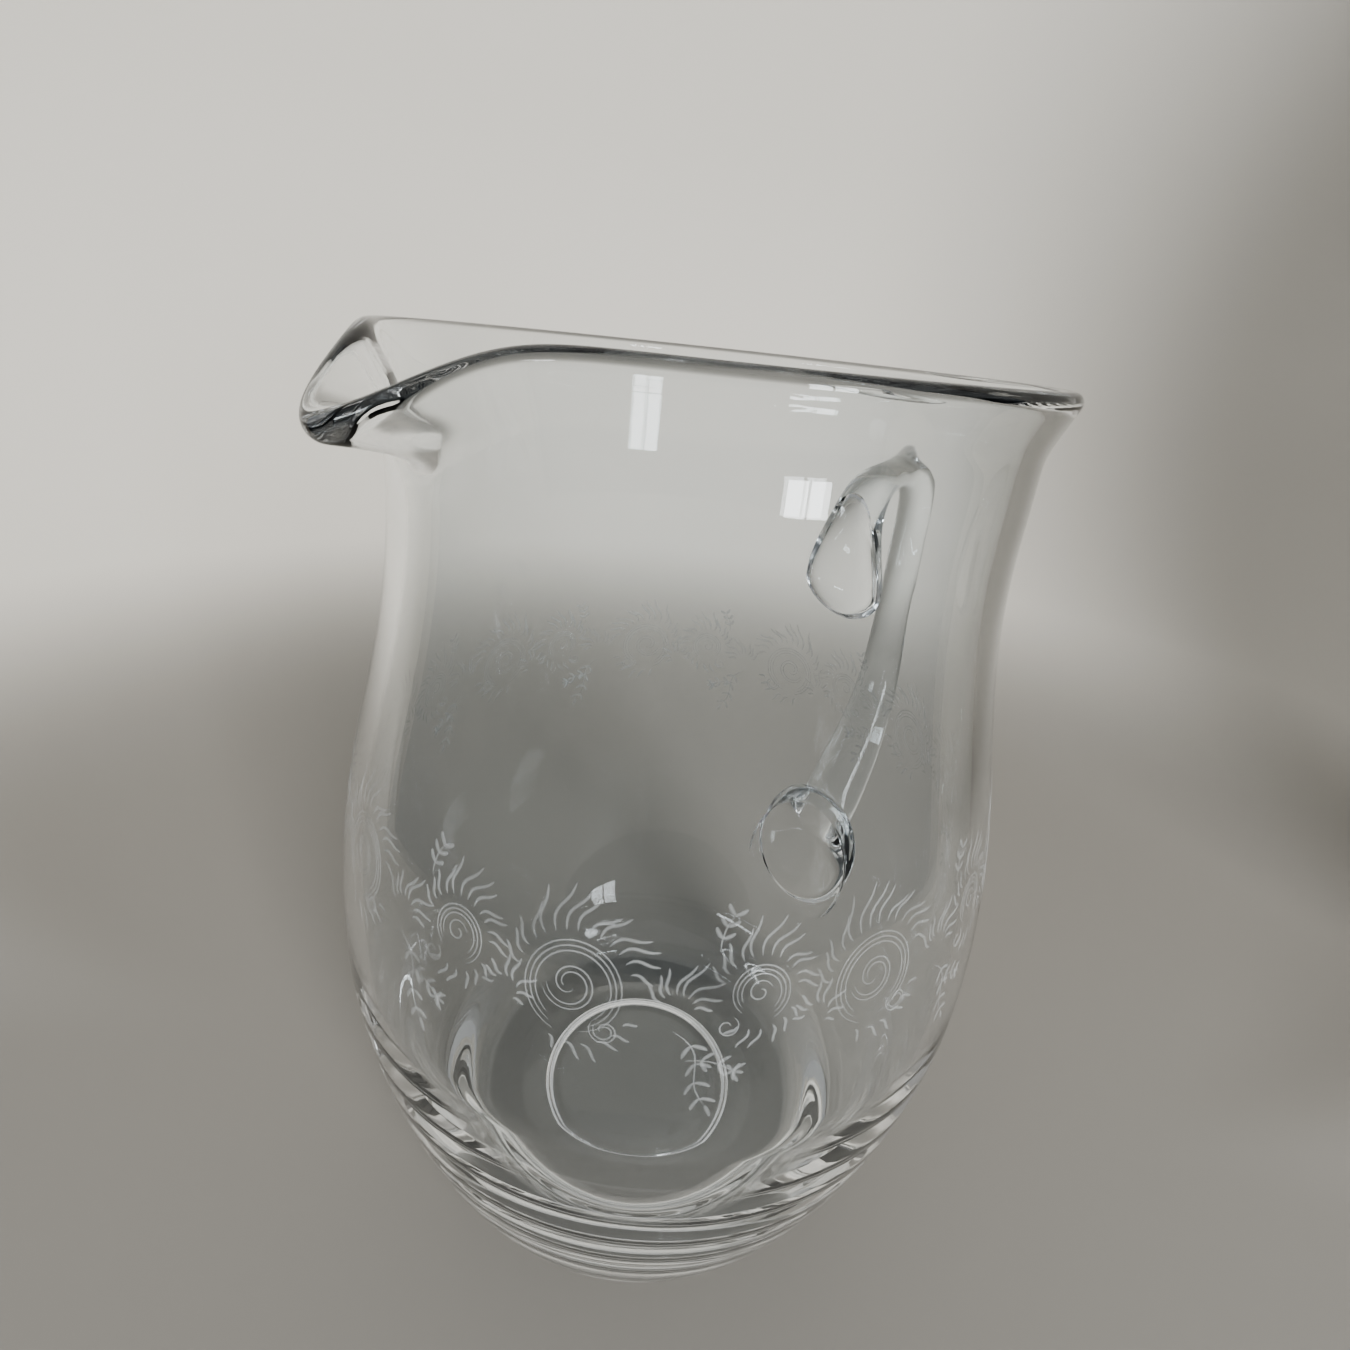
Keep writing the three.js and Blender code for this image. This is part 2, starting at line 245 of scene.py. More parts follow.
# Wall sections. A point is (radius, height), a curve four points.


def at(radius, height):
    """A point of the wall section, or one for each angle round the bowl."""
    return np.stack(np.broadcast_arrays(np.asarray(radius, float), np.asarray(height, float)))


def bezier(ends, t):
    """Points and unit directions of a cubic curve: (1-t)^3 a + 3(1-t)^2 t b + 3(1-t)t^2 c + t^3 d."""
    a, b, c, d = ends
    t = np.reshape(t, (-1,) + (1,) * a.ndim)
    s = 1 - t
    point = s**3 * a + 3 * s * s * t * b + 3 * s * t * t * c + t**3 * d
    way = s * s * (b - a) + 2 * s * t * (c - b) + t * t * (d - c)
    return point, way / np.linalg.norm(way, axis=1, keepdims=True)


def beside(ends, t, distance):
    """Points beside a curve: each point moved out by distance along the curve's normal (way z, -way r)."""
    point, way = bezier(ends, t)
    return point + distance * np.stack([way[:, 1], -way[:, 0]], axis=1)


def neck_radius(b):
    """The outside radius of the neck."""
    return b.belly_radius - b.neck_inset


def neck_height(b):
    """The height of the neck's narrowest place."""
    return b.belly_height + b.neck_rise


def lower_wall(b):
    """The outside of the wall from the foot to the belly."""
    return (
        at(b.foot_radius, 0),
        at(b.foot_radius + b.heel_out, b.heel_up),
        at(b.belly_radius, b.belly_height - b.belly_lead_down),
        at(b.belly_radius, b.belly_height),
    )


def upper_wall(b):
    """The middle of the wall from the belly to the neck."""
    belly, neck = b.belly_radius - b.wall / 2, neck_radius(b) - b.wall / 2
    return (
        at(belly, b.belly_height),
        at(belly, b.belly_height + b.belly_lead_up),
        at(neck, neck_height(b) - b.neck_lead_down),
        at(neck, neck_height(b)),
    )


def rim_wall(b, pull):
    """The middle of the wall from the neck to the rim. Pull is 1 at the lip's tip and 0 away from it."""
    flare = b.rim_flare + (b.lip_flare - b.rim_flare) * pull
    half = rim_half(b, pull)
    neck, low = neck_radius(b), neck_height(b)
    end = at(neck + b.rim_out + b.lip_reach * pull - half, low + b.rim_rise - b.lip_drop * pull - half)
    above = at(neck - b.wall / 2 + 0 * pull, low + b.neck_lead_up * (end[1] - low))
    start = at(neck - b.wall / 2 + 0 * pull, low)
    return start, above, end - b.rim_lead * at(np.sin(flare), np.cos(flare)), end


def rim_half(b, pull):
    """Half the rim's thickness, which grows towards the lip's tip."""
    return (b.wall + (b.lip_thickness - b.wall) * pull) / 2


def underside(b):
    """The underside from beside the axis to the ring.

    A hollow of depth (1 - (r / hollow)^steepness), flat with a steep polished side, then a slight rise and
    the flat ring.
    """
    ring = b.foot_radius - b.ring_width
    hollow = ring - b.hollow_margin
    radius = np.concatenate([
        (hollow - GROUND_EDGE) * np.sin(np.linspace(0, math.pi / 2, HOLLOW_ROWS))[1:],
        np.linspace(hollow, ring - GROUND_EDGE, SLOPE_ROWS),
        np.linspace(ring, b.foot_radius - GROUND_EDGE, RING_ROWS),
    ])
    dish = b.underside_rise + b.hollow_depth * (1 - (radius / hollow) ** HOLLOW_STEEPNESS)
    slope = b.underside_rise * np.clip((ring - radius) / b.hollow_margin, 0, 1)
    return np.stack([radius, np.where(radius < hollow, dish, slope)], axis=1)


def inside_floor(b):
    """The inside from the belly to the floor's middle: the lower wall set in, then one curve to the axis."""
    t = np.linspace(0, 1, INNER_LOWER_ROWS)[1:]
    thick = b.wall + (b.lower_wall - b.wall) * t
    wall = beside(lower_wall(b), 1 + (b.corner_place - 1) * t, -thick[:, None])
    corner = wall[-1]
    slope = bezier(lower_wall(b), [b.corner_place])[1][0]
    fall = b.corner_round * (corner[1] - b.floor_height)
    floor = (
        corner,
        at(corner[0] - fall * slope[0] / slope[1], corner[1] - fall),
        at(b.foot_radius - b.floor_inset, b.floor_height),
        at(0, b.floor_height),
    )
    return np.concatenate([wall, bezier(floor, np.linspace(0, 1, FLOOR_ROWS)[1:-1])[0]])


def bowl_section(b, pull):
    """The wall section at each angle, from beside the underside's middle to beside the floor's middle.

    Rows run out along the underside, up the outside, over the rim's half-round bead, down the inside and in
    along the floor. Only the rim's rows change with pull. The result is (row, radius or height, angle).
    """
    def all_round(rows):
        return np.repeat(rows[:, :, None], len(pull), axis=2)

    rim, half = rim_wall(b, pull), rim_half(b, pull)
    out = np.linspace(0, 1, RIM_ROWS)[1:]
    back = np.linspace(1, 0, INNER_RIM_ROWS)[1:]

    def half_wall(t):
        return (b.wall / 2 + (half - b.wall / 2) * t[:, None])[:, None, :]

    end, way = (x[0] for x in bezier(rim, [1.0]))
    bead = np.pi * np.linspace(0, 1, BEAD_ROWS)[1:, None, None]
    normal = np.stack([way[1], -way[0]])
    return np.concatenate([
        all_round(underside(b)),
        all_round(bezier(lower_wall(b), np.linspace(0, 1, LOWER_ROWS))[0]),
        all_round(beside(upper_wall(b), np.linspace(0, 1, UPPER_ROWS)[1:], b.wall / 2)),
        beside(rim, out, half_wall(out)),
        end + half * (np.cos(bead) * normal + np.sin(bead) * way),
        beside(rim, back, -half_wall(back)),
        all_round(beside(upper_wall(b), np.linspace(1, 0, INNER_UPPER_ROWS)[1:], -b.wall / 2)),
        all_round(inside_floor(b)),
    ])


def angles_round(b):
    """Angles from the handle, from -pi to pi, closer together across the handle and across the lip."""
    lip = min(3 * b.lip_half_width / (neck_radius(b) + b.rim_out), math.pi / 2)
    marks = [-math.pi, lip - math.pi, -HANDLE_ARC, HANDLE_ARC, math.pi - lip, math.pi]
    counts = [LIP_COLUMNS, SIDE_COLUMNS, HANDLE_COLUMNS, SIDE_COLUMNS, LIP_COLUMNS]
    parts = zip(marks, marks[1:], counts)
    return np.concatenate([np.linspace(a, z, n, endpoint=False) for a, z, n in parts])


def wall_line(b):
    """Heights, radii and slopes of the wall's outside away from the lip, close enough to read between."""
    t = np.linspace(0, 1, CURVE_STEPS)
    still = np.zeros(1)
    line = np.concatenate([
        bezier(lower_wall(b), t)[0],
        beside(upper_wall(b), t[1:], b.wall / 2),
        beside(rim_wall(b, still), t[1:], b.wall / 2)[:, :, 0],
    ])
    return line[:, 1], line[:, 0], np.gradient(line[:, 0], line[:, 1])


def axis_place(b):
    """The bowl's axis, which stands off the origin towards the lip."""
    return BOWL_SIDE - b.belly_radius


def on_wall(b, angle, height, lift=0.0):
    """Points on the wall's outside at an angle and a height, raised along its normal by lift."""
    heights, radii, slopes = wall_line(b)
    slope = np.interp(height, heights, slopes)
    rise = lift / np.sqrt(1 + slope**2)
    radius = np.interp(height, heights, radii) + rise
    x = axis_place(b) + radius * np.cos(angle)
    return np.stack([x, radius * np.sin(angle), height - rise * slope], axis=-1)


# The handle's line and surface


def handle_line(b, h):
    """The handle's middle line in X and Z: distances from the wall, points, directions, and the wall's slope.

    Four runs follow each other: a curve out of the lower seal, the straight grip, the arch, and a curve that
    comes down on the wall.
    """
    heights, radii, slopes = wall_line(b)

    def wall_at(height):
        slope = np.interp(height, heights, slopes)
        return at(np.interp(height, heights, radii), height), at(slope, 1) / math.hypot(slope, 1)

    seal, seal_up = wall_at(h.lower_height)
    end, end_up = wall_at(neck_height(b) - h.upper_drop)
    end = end - h.bite * at(end_up[1], -end_up[0])
    leaving = at(math.cos(h.leaving), math.sin(h.leaving))
    sunk = seal[0] - math.sqrt(seal[0] ** 2 - h.lower_radius**2) + h.bite
    begin = sunk / math.cos(h.leaving)
    reach = b.belly_radius + h.finger_space + h.grip_low
    top = at(reach - h.arch_inset, neck_height(b) - h.upper_drop + h.upper_rise)
    high = at(reach, top[1] - h.arch_rise)
    low = at(reach, high[1] - h.grip_length)
    third = (high - low) / 3
    runs = (
        (seal - begin * leaving, seal + h.lower_lead * leaving, low - at(0, h.grip_lead), low),
        (low, low + third, high - third, high),
        (high, high + at(0, h.arch_lead), top + at(h.arch_lead / 2, 0), top),
        (top, top - at(h.arch_lead, 0), end + h.upper_lead * end_up, end),
    )
    t = np.linspace(0, 1, CURVE_STEPS)
    parts = [bezier(run, t if i == 0 else t[1:]) for i, run in enumerate(runs)]
    point, way = (np.concatenate([part[i] for part in parts]) for i in (0, 1))
    steps = np.linalg.norm(np.diff(point, axis=0), axis=1)
    return np.concatenate([[0], np.cumsum(steps)]) - begin, point, way, seal_up


def smoothstep(value, low, high):
    """0 below low, 1 above high, and t^2 (3 - 2t) between them."""
    t = np.clip((value - low) / (high - low), 0, 1)
    return t * t * (3 - 2 * t)


def handle_section(h, distance, run):
    """Half the handle's width and half its depth at a distance from the wall.

    A round grip tapers upwards, with a pad of (1 - out^3)^2 on the lower seal, a bell-shaped spread before
    the end and a half-round tip.
    """
    to_end = np.maximum(run - distance, 0)
    out = np.clip(distance / h.lower_thickness, 0, 1)
    grip = h.grip_low + (h.grip_high - h.grip_low) * smoothstep(distance, h.lower_thickness, run / 2)
    roll = 1 - h.roll * np.exp(-((distance / (ROLL_HEIGHT * h.lower_thickness)) ** 2))
    pad = (h.lower_radius - h.grip_low) * (1 - out**3) ** 2
    spread = np.exp(-(((to_end - h.upper_tip) / h.upper_flare) ** 2))
    tip = np.sqrt(1 - np.maximum(1 - to_end / h.upper_tip, 0) ** 2)
    body = (grip + pad) * roll
    return (body + (h.upper_half_width - h.grip_high) * spread) * tip, body * tip


def handle_points(b, h, distance, angle):
    """Points round the middle line: an ellipse across it, which lies along the wall in the lower seal."""
    along, point, way, seal_up = handle_line(b, h)
    x, z, way_x, way_z = (np.interp(distance, along, v) for v in (*point.T, *way.T))
    free = smoothstep(distance, 0, 2 * h.lower_thickness)
    deep_x = seal_up[0] + (-way_z - seal_up[0]) * free
    deep_z = seal_up[1] + (way_x - seal_up[1]) * free
    scale = np.hypot(deep_x, deep_z)
    width, depth = handle_section(h, distance, along[-1])
    deep = depth * np.sin(angle) / scale
    return np.stack([axis_place(b) + x + deep_x * deep, width * np.cos(angle), z + deep_z * deep], axis=-1)


def seal_distances(b, h, angle):
    """Where each line along the handle leaves the wall and where it meets it again, found by halving."""
    heights, radii, _ = wall_line(b)
    along = handle_line(b, h)[0]

    def found(inside, outside):
        inside, outside = np.full(angle.shape, inside), np.full(angle.shape, outside)
        for _ in range(HALVINGS):
            middle = (inside + outside) / 2
            p = handle_points(b, h, middle, angle)
            clear = np.hypot(p[..., 0] - axis_place(b), p[..., 1]) > np.interp(p[..., 2], heights, radii)
            inside, outside = np.where(clear, inside, middle), np.where(clear, middle, outside)
        return (inside + outside) / 2

    free = along[-1] / 2
    return found(along[0], free), found(along[-1], free)


def seal_outlines(b, h, angle):
    """The two seals' outlines on the wall, each as angles round the bowl and heights."""
    outlines = []
    for distance in seal_distances(b, h, angle):
        p = handle_points(b, h, distance, angle)
        outlines.append((np.arctan2(p[..., 1], p[..., 0] - axis_place(b)), p[..., 2]))
    return outlines


# Meshes


def quads(index, closed=True):
    """Faces of a grid of vertex numbers, joined round its second way where closed."""
    if closed:
        index = np.concatenate([index, index[:, :1]], axis=1)
    corners = index[:-1, :-1], index[:-1, 1:], index[1:, 1:], index[1:, :-1]
    return np.stack(corners, axis=-1).reshape(-1, 4)


def fan(ring, pole, outwards):
    """Triangles from a closed ring of vertex numbers to one pole."""
    after = np.roll(ring, -1)
    pole = np.full_like(ring, pole)
    return np.stack([ring, after, pole] if outwards else [after, ring, pole], axis=-1)


def make_piece(name, points, faces, materials, slots=None, crease=40.0):
    """An object at the origin from points, lists of faces and a material number for each list."""
    used, renumbered = np.unique(np.concatenate([f.ravel() for f in faces]), return_inverse=True)
    counts = np.concatenate([np.full(len(f), f.shape[1]) for f in faces])
    slots = slots or [0] * len(faces)
    mesh = bpy.data.meshes.new(name)
    mesh.vertices.add(len(used))
    mesh.vertices.foreach_set("co", points[used].astype(np.float32).ravel())
    mesh.loops.add(len(renumbered))
    mesh.loops.foreach_set("vertex_index", renumbered.astype(np.int32))
    mesh.polygons.add(len(counts))
    mesh.polygons.foreach_set("loop_start", np.concatenate([[0], np.cumsum(counts)[:-1]]).astype(np.int32))
    numbers = np.concatenate([np.full(len(f), s) for f, s in zip(faces, slots)])
    mesh.polygons.foreach_set("material_index", numbers.astype(np.int32))
    mesh.polygons.foreach_set("use_smooth", np.ones(len(counts), bool))
    mesh.update(calc_edges=True)
    if mesh.validate():
        raise RuntimeError(f"{name} has faulty faces")
    mesh.set_sharp_from_angle(angle=math.radians(crease))
    for material in materials:
        mesh.materials.append(material)
    piece = bpy.data.objects.new(name, mesh)
    bpy.context.scene.collection.objects.link(piece)
    return piece


def bowl_mesh(b, h):
    """Points, face lists and material numbers of the bowl.

    The main surface is a grid of section rows and angles. The lip's pull is exp(-(angle / half width)^2).
    Round each seal a rectangle is left out and filled by a collar that runs from the rectangle to the seal's
    outline, and by rings inside the outline.
    """
    angles = angles_round(b)
    tip = b.lip_half_width / (neck_radius(b) + b.rim_out)
    rows = bowl_section(b, np.exp(-(((math.pi - np.abs(angles)) / tip) ** 2)))
    radius, height = rows[:, 0], rows[:, 1]
    grid = np.stack([axis_place(b) + radius * np.cos(angles), radius * np.sin(angles), height], axis=-1)
    count = grid.shape[0] * grid.shape[1]
    index = np.arange(count).reshape(grid.shape[:2])
    poles = np.array([
        [axis_place(b), 0, b.underside_rise + b.hollow_depth],
        [axis_place(b), 0, b.floor_height],
    ])
    points = [grid.reshape(-1, 3), poles]
    foot = len(underside(b))
    outer = slice(foot, foot + LOWER_ROWS + UPPER_ROWS - 1)
    open_face = np.ones(index.shape, bool)
    open_face[-1] = False
    faces, slots = [fan(index[0], count, False), fan(index[-1], count + 1, True)], [0, 0]
    count += 2
    turns = np.linspace(0, 2 * math.pi, OUTLINE_STEPS, endpoint=False)
    for around, up in seal_outlines(b, h, turns):
        middle = (up.min() + up.max()) / 2
        girth = np.interp(middle, *wall_line(b)[:2])
        r0 = foot + np.searchsorted(height[outer, 0], up.min() - SEAL_MARGIN)
        r1 = foot + np.searchsorted(height[outer, 0], up.max() + SEAL_MARGIN)
        c0 = np.searchsorted(angles, around.min() - SEAL_MARGIN / girth)
        c1 = np.searchsorted(angles, around.max() + SEAL_MARGIN / girth)
        open_face[r0:r1, c0:c1] = False
        edge_row = np.concatenate([
            np.full(c1 - c0, r0), np.arange(r0, r1), np.full(c1 - c0, r1), np.arange(r1, r0, -1),
        ])
        edge_column = np.concatenate([
            np.arange(c0, c1), np.full(r1 - r0, c1), np.arange(c1, c0, -1), np.full(r1 - r0, c0),
        ])
        edge = np.stack([angles[edge_column] * girth, height[edge_row, 0] - middle])
        way = np.arctan2(edge[1], edge[0])
        across, over = around * girth, up - middle
        reach = np.interp(way, np.arctan2(over, across), np.hypot(over, across), period=2 * math.pi)
        outline = reach * np.stack([np.cos(way), np.sin(way)])
        inwards = np.linspace(0, 1, COLLAR_RINGS + 1)[1:, None, None]
        shrink = np.linspace(1, 0, CAP_RINGS + 1)[1:-1, None, None]
        rings = np.concatenate([edge + (outline - edge) * inwards, outline * shrink])
        new = on_wall(b, rings[:, 0] / girth, rings[:, 1] + middle).reshape(-1, 3)
        points += [new, on_wall(b, np.zeros(1), np.full(1, middle))]
        ring_index = count + np.arange(len(new)).reshape(len(rings), -1)
        count += len(new) + 1
        faces += [
            quads(np.concatenate([index[edge_row, edge_column][None], ring_index[:COLLAR_RINGS]])),
            quads(ring_index[COLLAR_RINGS - 1:]),
            fan(ring_index[-1], count - 1, True),
        ]
        slots += [0, 1, 1]
    main = quads(np.concatenate([index, index[:1]])).reshape(*index.shape, 4)
    faces.append(main[open_face])
    slots.append(0)
    return np.concatenate(points), faces, slots


def handle_mesh(b, h):
    """Points, face lists and material numbers of the handle.

    Lines run along it from the lower seal's outline to the upper one's. Rings that follow the wall close both
    ends.
    """
    angle = np.linspace(0, 2 * math.pi, HANDLE_SIDES, endpoint=False)
    low, high = seal_distances(b, h, angle)
    run = (1 - np.cos(np.linspace(0, math.pi, HANDLE_ROWS))) / 2
    side = handle_points(b, h, low + (high - low) * run[:, None], angle)
    caps, poles = [], []
    shrink = np.linspace(0, 1, CAP_RINGS + 1)[1:-1, None]
    for around, up in seal_outlines(b, h, angle):
        middle = (up.min() + up.max()) / 2
        caps.append(on_wall(b, around * shrink, middle + (up - middle) * shrink))
        poles.append(on_wall(b, 0.0, middle))
    rows = np.concatenate([caps[0], side, caps[1][::-1]])
    index = np.arange(rows.shape[0] * rows.shape[1]).reshape(rows.shape[:2])
    cap = len(shrink)
    points = np.concatenate([rows.reshape(-1, 3), np.array(poles)])
    faces = [
        fan(index[0], index.size, False),
        quads(index[: cap + 1]),
        quads(index[cap : len(index) - cap]),
        quads(index[len(index) - cap - 1 :]),
        fan(index[-1], index.size + 1, True),
    ]
    return points, faces, [1, 1, 0, 1, 1]


# The etched band. Strokes are drawn flat, in millimetres across and up, and laid on the wall.

CURL = np.linspace(0, 1, CURL_POINTS)
DASH = np.linspace(0, 1, DASH_POINTS)


def scroll(x, y, radius, first, sweep, left):
    """A scroll: the angle sweeps on evenly while the radius falls to a share of itself."""
    a = np.radians(first + sweep * CURL)
    r = radius * (1 - (1 - left) * CURL**CURL_FALL)
    return np.stack([x + r * np.cos(a), y + r * np.sin(a)], axis=1)


def wave(x, y, degrees, reach, bow, swing=0.0):
    """A line of that reach from a point, bowed to its left and swung to and fro by shares of its reach."""
    a = math.radians(degrees)
    aside = reach * (4 * bow * DASH * (1 - DASH) + swing * np.sin(2 * math.pi * DASH))
    return np.stack([
        x + reach * DASH * math.cos(a) - aside * math.sin(a),
        y + reach * DASH * math.sin(a) + aside * math.cos(a),
    ], axis=1)


def spray(x, y, radius, first, last, lean, reach, count):
    """Pointed strokes that stand on an arc round a point and lean aside, uneven and longest in the middle."""
    strokes = []
    for i in range(count):
        t = i / (count - 1)
        a = first + (last - first) * t
        full = SPRAY_SHORTEST + (1 - SPRAY_SHORTEST) * math.sin(math.pi * t)
        size = reach * full * (1 + SPRAY_UNEVEN * math.sin(SPRAY_BEATS[0] * i))
        stray = SPRAY_STRAY * math.sin(SPRAY_BEATS[1] * i)
        foot = (x + radius * math.cos(math.radians(a)), y + radius * math.sin(math.radians(a)))
        strokes.append(wave(*foot, a + lean + stray, size, SPRAY_BOW, SPRAY_SWING))
    return strokes


def motif():
    """One repeat as curls, stems, flames and leaves, each a row of strokes.

    A round scroll in three lines has a lesser one after it, with flame-like sprays round and between them,
    and a drooping sprig with a side shoot and a small blossom.
    """
    curls = [scroll(0, 0, 6.9 - 0.75 * i, 250 - 9 * i, -330 + 22 * i, 0.9) for i in range(3)]
    curls += [scroll(-0.6, 0.5, 3.9 - 0.7 * i, 200 - 10 * i, 470 - 90 * i, 0.2 + 0.05 * i) for i in range(2)]
    curls += [scroll(4.6, -5.2, 2.1 - 0.6 * i, 150 + 10 * i, 420 - 90 * i, 0.25 + 0.05 * i) for i in range(2)]
    curls += [scroll(24.5, 1.5, 4.3 - 0.65 * i, -60 + 8 * i, 290 - 20 * i, 0.82) for i in range(3)]
    curls += [scroll(24.5, 1.7, 1.7, 20, 430, 0.2), scroll(20.5, -3.2, 1.6, 60, -400, 0.25)]
    flames = spray(0, 0, 8.0, 170, 25, -38, 6.2, 14) + spray(0, 0, 8.0, 330, 250, 40, 3.6, 6)
    flames += spray(24.5, 1.5, 5.3, 160, 10, -30, 5.2, 12) + spray(24.5, 1.5, 5.3, 330, 240, -25, 3.4, 6)
    flames += spray(13.5, -1.0, 2.4, 150, 10, -20, 5.0, 8) + spray(33.0, -3.0, 1.8, 170, -40, 20, 3.4, 8)
    stem = wave(13.5, -4.0, -66, 13.0, 0.06, 0.07)
    side = wave(15.2, -8.5, -14, 7.0, 0.12)
    shoot = wave(18.6, 7.5, 72, 5.0, 0.1)
    leaves = [wave(*stem[-1], -66, 2.2, 0.0)] + [wave(*side[-1], 72 * i - 14, 1.5, 0.0) for i in range(5)]
    for line, lean, reach, gap in ((stem, -66, 2.3, 2), (side, -14, 2.0, 3), (shoot, 72, 1.8, 3)):
        for place in range(gap, DASH_POINTS, gap):
            leaves += [wave(*line[place], lean + way * 50, reach, way * 0.08) for way in (-1, 1)]
    return np.array(curls), np.array([stem, side, shoot]), np.array(flames), np.array(leaves)


def band_mesh(b, band):
    """Points and face lists of the etched lines: each stroke is a slim tapered lens, set in the wall."""
    points, faces, count = [], [], 0
    rounds = band.start + 2 * math.pi * np.arange(band.repeats) / band.repeats
    for strokes, half in zip(motif(), (band.line, band.line, band.flame, band.leaf)):
        flat = strokes * MM
        way = np.gradient(flat, axis=1)
        way /= np.linalg.norm(way, axis=2, keepdims=True)
        swell = np.sin(np.linspace(0, math.pi, flat.shape[1])) ** 0.5
        width = half * (STROKE_TIP + (1 - STROKE_TIP) * swell)[None, :, None]
        aside = width * np.stack([-way[..., 1], way[..., 0]], axis=-1)
        corners = []
        edges = (flat - aside, 0.0), (flat, band.depth), (flat + aside, 0.0), (flat, -band.depth)
        for place, lift in edges:
            angle = rounds[:, None, None] + place[..., 0] / b.belly_radius
            height = np.broadcast_to(band.height + place[..., 1], angle.shape)
            corners.append(on_wall(b, angle, height, lift))
        new = np.stack(corners, axis=-2).reshape(-1, flat.shape[1], 4, 3)
        index = count + np.arange(new.size // 3).reshape(new.shape[:3])
        ring = np.concatenate([index, index[:, :, :1]], axis=2)
        sides = ring[:, :-1, :-1], ring[:, 1:, :-1], ring[:, 1:, 1:], ring[:, :-1, 1:]
        points.append(new.reshape(-1, 3))
        faces += [np.stack(sides, axis=-1).reshape(-1, 4), index[:, 0], index[:, -1, ::-1]]
        count += new.size // 3
    return np.concatenate(points), faces


# Materials


def node(tree, kind, **settings):
    """A node with its sockets and settings filled in by name."""
    made = tree.nodes.new(kind)
    for name, value in settings.items():
        if hasattr(made, name):
            setattr(made, name, value)
        else:
            made.inputs[name.replace("_", " ")].default_value = value
    return made


def between(tree, first, second, share):
    """A colour mixed from two by a linked share."""
    mix = node(tree, "ShaderNodeMix", data_type="RGBA")
    mix.inputs[MIX_FIRST].default_value = (*first, 1)
    mix.inputs[MIX_SECOND].default_value = (*second, 1)
    tree.links.new(share, mix.inputs[0])
    return mix.outputs[MIX_RESULT]


def new_material(name):
    """An empty node material with its output."""
    material = bpy.data.materials.new(name)
    material.use_nodes = True
    material.node_tree.nodes.clear()
    return material, material.node_tree, material.node_tree.nodes.new("ShaderNodeOutputMaterial")


def blown_group(look):
    """The shared finish of hot-worked glass: a drifting tint, faint streaks and the waves of blowing.

    Waves are two scales of noise on Object coordinates, drawn out upwards by Stretch.
    """
    group = bpy.data.node_groups.new("blown_finish", "ShaderNodeTree")
    for name, value in (("Fineness", 40.0), ("Stretch", 0.5)):
        group.interface.new_socket(name, in_out="INPUT", socket_type="NodeSocketFloat").default_value = value
    for name, kind in (("Tint", "Color"), ("Roughness", "Float"), ("Height", "Float")):
        group.interface.new_socket(name, in_out="OUTPUT", socket_type="NodeSocket" + kind)
    into, out = group.nodes.new("NodeGroupInput"), group.nodes.new("NodeGroupOutput")
    place = group.nodes.new("ShaderNodeTexCoord")
    scale = node(group, "ShaderNodeCombineXYZ", X=1.0, Y=1.0)
    drawn = node(group, "ShaderNodeVectorMath", operation="MULTIPLY")
    group.links.new(into.outputs["Stretch"], scale.inputs["Z"])
    group.links.new(place.outputs["Object"], drawn.inputs[0])
    group.links.new(scale.outputs[0], drawn.inputs[1])
    ripple = node(group, "ShaderNodeTexNoise", Detail=1.5, Roughness=0.4)
    group.links.new(drawn.outputs[0], ripple.inputs["Vector"])
    group.links.new(into.outputs["Fineness"], ripple.inputs["Scale"])
    streak = node(group, "ShaderNodeTexNoise", Scale=260.0, Detail=2.0)
    group.links.new(drawn.outputs[0], streak.inputs["Vector"])
    rough = node(group, "ShaderNodeMapRange", From_Min=0.55, From_Max=0.85, To_Min=0.0, To_Max=0.035)
    group.links.new(streak.outputs["Fac"], rough.inputs["Value"])
    tint = between(group, look.clear, look.cool, ripple.outputs["Fac"])
    group.links.new(tint, out.inputs["Tint"])
    group.links.new(rough.outputs[0], out.inputs["Roughness"])
    group.links.new(ripple.outputs["Fac"], out.inputs["Height"])
    return group


def crystal(name, look, group, fineness, stretch):
    """Clear crystal that bends what is seen through it and lets lamp light through to what lies behind."""
    material, tree, out = new_material(name)
    finish = tree.nodes.new("ShaderNodeGroup")
    finish.node_tree = group
    finish.inputs["Fineness"].default_value = fineness
    finish.inputs["Stretch"].default_value = stretch
    bump = node(tree, "ShaderNodeBump", Strength=1.0, Distance=look.waver)
    glass = node(tree, "ShaderNodeBsdfPrincipled", IOR=look.index, Transmission_Weight=1.0, Metallic=0.0)
    tree.links.new(finish.outputs["Tint"], glass.inputs["Base Color"])
    tree.links.new(finish.outputs["Roughness"], glass.inputs["Roughness"])
    tree.links.new(finish.outputs["Height"], bump.inputs["Height"])
    tree.links.new(bump.outputs["Normal"], glass.inputs["Normal"])
    facing = node(tree, "ShaderNodeLayerWeight", Blend=0.35)
    shade = tree.nodes.new("ShaderNodeBsdfTransparent")
    passed = between(tree, look.shade, look.edge_shade, facing.outputs["Facing"])
    tree.links.new(passed, shade.inputs["Color"])
    path = tree.nodes.new("ShaderNodeLightPath")
    seen = glass.outputs[0]
    for ray in ("Is Shadow Ray", "Is Diffuse Ray"):
        mix = tree.nodes.new("ShaderNodeMixShader")
        tree.links.new(path.outputs[ray], mix.inputs[0])
        tree.links.new(seen, mix.inputs[1])
        tree.links.new(shade.outputs[0], mix.inputs[2])
        seen = mix.outputs[0]
    tree.links.new(seen, out.inputs["Surface"])
    return material


def fused_seam():
    """The faces where handle and wall are one glass: light passes them unbent."""
    material, tree, out = new_material("fused_seam")
    through = tree.nodes.new("ShaderNodeBsdfTransparent")
    tree.links.new(through.outputs[0], out.inputs["Surface"])
    return material


